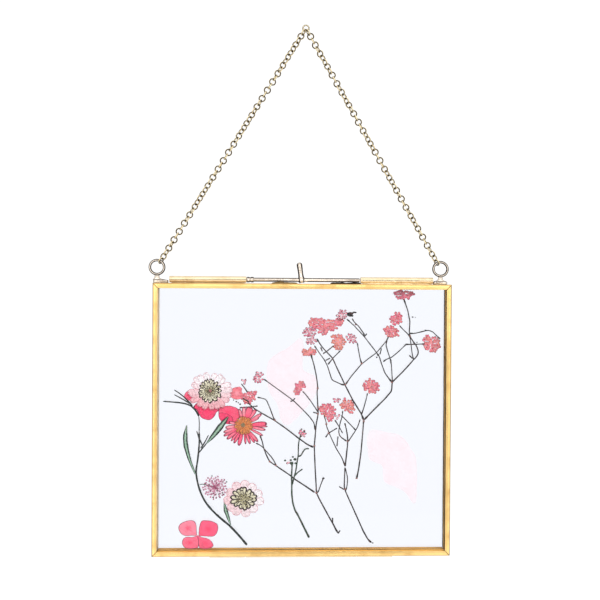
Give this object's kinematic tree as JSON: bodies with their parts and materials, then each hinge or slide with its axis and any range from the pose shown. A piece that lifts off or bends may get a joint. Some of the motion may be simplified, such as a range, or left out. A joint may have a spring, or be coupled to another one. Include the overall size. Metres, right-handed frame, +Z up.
{
  "type": "hanging pressed flower frame",
  "caption": "Hanging glass frame with brass edges that holds dried pressed flowers between its panes; it hangs on a fine chain, opens on a bottom hinge and is shut by a sliding top bolt.",
  "frame": {"origin": "where the nail bears: the inner top of the chain's top link", "axes": "+X to the right as one faces the front, +Y back to the wall, +Z up"},
  "size_m": [0.1526, 0.008, 0.2692],
  "materials": {
    "brass": "bright folded brass strip, hand polished",
    "solder": "brass tinned with solder, satin",
    "chain": "bright gold-coloured plating",
    "glass": "clear float glass",
    "pale_petal": "dried and pressed, matte",
    "magenta_petal": "dried and pressed, matte",
    "coral_petal": "dried and pressed, matte",
    "mauve_floret": "dried and pressed, matte",
    "veil_petal": "dried, thin and nearly clear",
    "blush_floret": "dried and pressed, matte",
    "dark_stalk": "dried stalk, matte",
    "green_stalk": "dried green stalk and leaves, matte"
  },
  "bodies": {
    "chain": {"chain_top_link": "chain", "chain_left": "chain", "chain_right": "chain"},
    "back_frame": {"back_channel_bottom": "brass", "back_channel_left": "brass", "back_channel_top": "brass", "back_channel_right": "brass", "back_pane": "glass", "guide_tube": "brass", "ring_left": "solder", "ring_right": "solder", "ring_foot_left": "solder", "ring_foot_right": "solder", "hinge_knuckle_left": "brass", "hinge_knuckle_right": "brass", "hinge_wire": "brass", "daisy_upper": "pale_petal", "daisy_middle": "magenta_petal", "daisy_lower": "pale_petal", "magenta_petal_left": "magenta_petal", "magenta_petal_bottom": "magenta_petal", "magenta_petal_right": "magenta_petal", "coral_floret": "coral_petal", "lace_umbel": "mauve_floret", "veil_petal_left": "veil_petal", "veil_petal_right": "veil_petal", "leafy_stalk": "green_stalk", "dark_sprig": "dark_stalk", "gypsophila_left_stalk": "dark_stalk", "gypsophila_left_low_branch": "dark_stalk", "gypsophila_left_long_branch": "blush_floret", "gypsophila_middle_stalk": "dark_stalk", "gypsophila_middle_branches": "blush_floret", "gypsophila_right_stalk": "dark_stalk", "gypsophila_right_left_limb": "blush_floret", "gypsophila_right_limb": "blush_floret"},
    "front_frame": {"front_channel_bottom": "brass", "front_channel_left": "brass", "front_channel_top": "brass", "front_channel_right": "brass", "front_pane": "glass", "keeper_tube": "brass", "hinge_knuckle_front": "brass"},
    "bolt": {"bolt": "solder"}
  },
  "joints": [
    {"name": "frame_swing", "type": "hinge", "parent": "chain", "child": "back_frame", "pos_m": [0, 0, -0.11905], "axis": [1, 0, 0], "range_deg": [-25, 25]},
    {"name": "front_opening", "type": "hinge", "parent": "back_frame", "child": "front_frame", "pos_m": [-0.0008, -0.0006, -0.26763], "axis": [1, 0, 0], "range_deg": [0, 180]},
    {"name": "bolt_slide", "type": "slide", "parent": "back_frame", "child": "bolt", "axis": [1, 0, 0], "range_m": [0, 0.027]}
  ]
}
